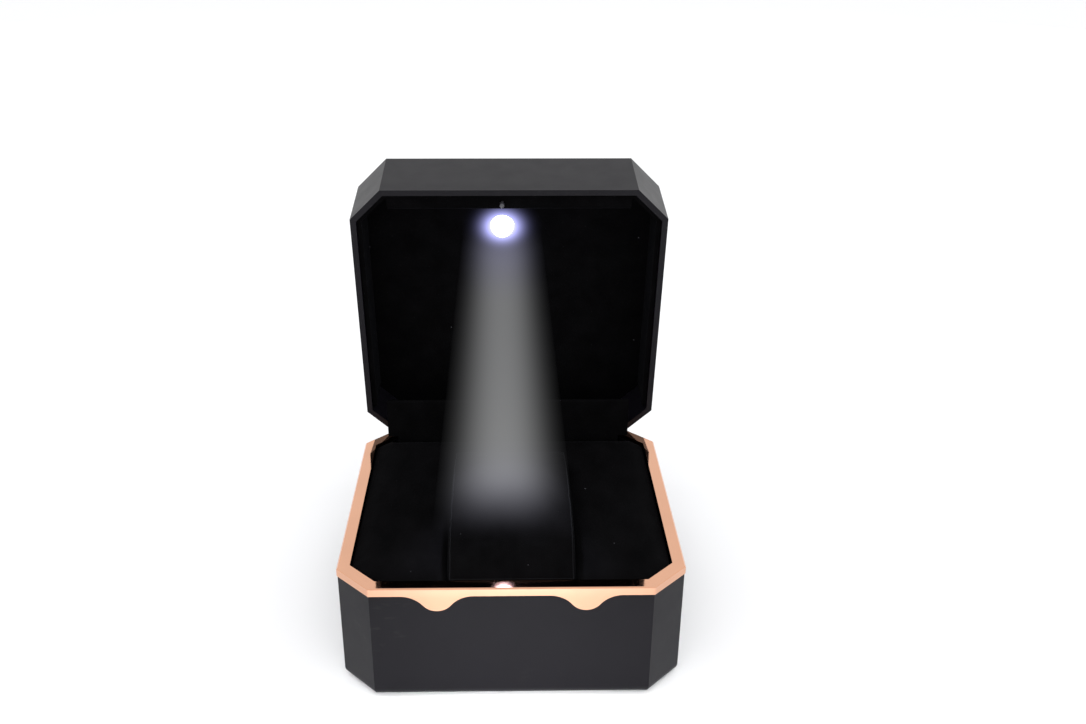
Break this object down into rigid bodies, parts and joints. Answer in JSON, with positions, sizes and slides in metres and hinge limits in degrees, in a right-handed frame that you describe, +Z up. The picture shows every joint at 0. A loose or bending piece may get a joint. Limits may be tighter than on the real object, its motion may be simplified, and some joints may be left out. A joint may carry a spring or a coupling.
{
  "type": "ring box",
  "caption": "Octagonal ring box with a hinged lid, rose-gold rim, black velvet ring cushion and a lamp in the lid.",
  "frame": {"origin": "centre of the base's underside, where the box stands on a table", "axes": "+Z up, +Y from the front to the hinge, +X to the right as seen from the front"},
  "size_m": [0.065, 0.0765, 0.0868],
  "materials": {
    "soft_touch_black": "soft-touch rubber paint on moulded plastic",
    "rose_gold": "rose-gold plated, mirror polish",
    "tray_plastic": "plain moulding",
    "foam": "soft foam",
    "velvet": "short-pile velvet",
    "velvet_card": "card wrapped in short-pile velvet",
    "card": "grey card",
    "steel": "nickel plated",
    "spring_steel": "bright spring steel",
    "lamp_lens": "clear epoxy, water-clear dome",
    "board_green": "solder mask",
    "tape": "foam tape",
    "chip": "chip resistor",
    "cell_steel": "stainless case",
    "plunger_plastic": "moulded",
    "wire_red": "insulation",
    "wire_black": "insulation"
  },
  "bodies": {
    "base": {"base_shell": "soft_touch_black", "rim_trim": "rose_gold", "insert_tray": "tray_plastic", "pad_foam": "foam", "pad_cover": "velvet", "cushion_foam": "foam", "cushion_cover": "velvet", "hinge_cover": "velvet_card", "hinge_leaf_base": "steel", "hinge_pin": "steel", "hinge_spring": "spring_steel", "hinge_screws_base": "steel"},
    "lid": {"lid_shell": "soft_touch_black", "lid_liner": "velvet_card", "panel_velvet": "velvet", "panel_board": "card", "switch_bar": "velvet_card", "hinge_leaf_lid": "steel", "hinge_screws_lid": "steel", "led_lamp": "lamp_lens", "led_leads": "steel", "led_holder": "tray_plastic", "circuit_board": "board_green", "board_tape": "tape", "resistor": "chip", "coin_cell": "cell_steel", "battery_clip": "spring_steel", "switch_body": "tray_plastic", "plunger_spring": "spring_steel", "switch_wire_red": "wire_red", "switch_wire_black": "wire_black"},
    "plunger": {"switch_plunger": "plunger_plastic"}
  },
  "joints": [
    {"name": "lid_hinge", "type": "hinge", "parent": "base", "child": "lid", "pos_m": [0, 0.0294, 0.02515], "axis": [1, 0, 0], "range_deg": [0, 81]},
    {"name": "switch_plunger_slide", "type": "slide", "parent": "lid", "child": "plunger", "axis": [0, 0.9877, 0.1564], "range_m": [0, 0.001], "deforming": ["plunger_spring"]}
  ],
  "couplings": [
    {"joint": "switch_plunger_slide", "follows": "lid_hinge", "m_per_rad": 0.000707}
  ]
}
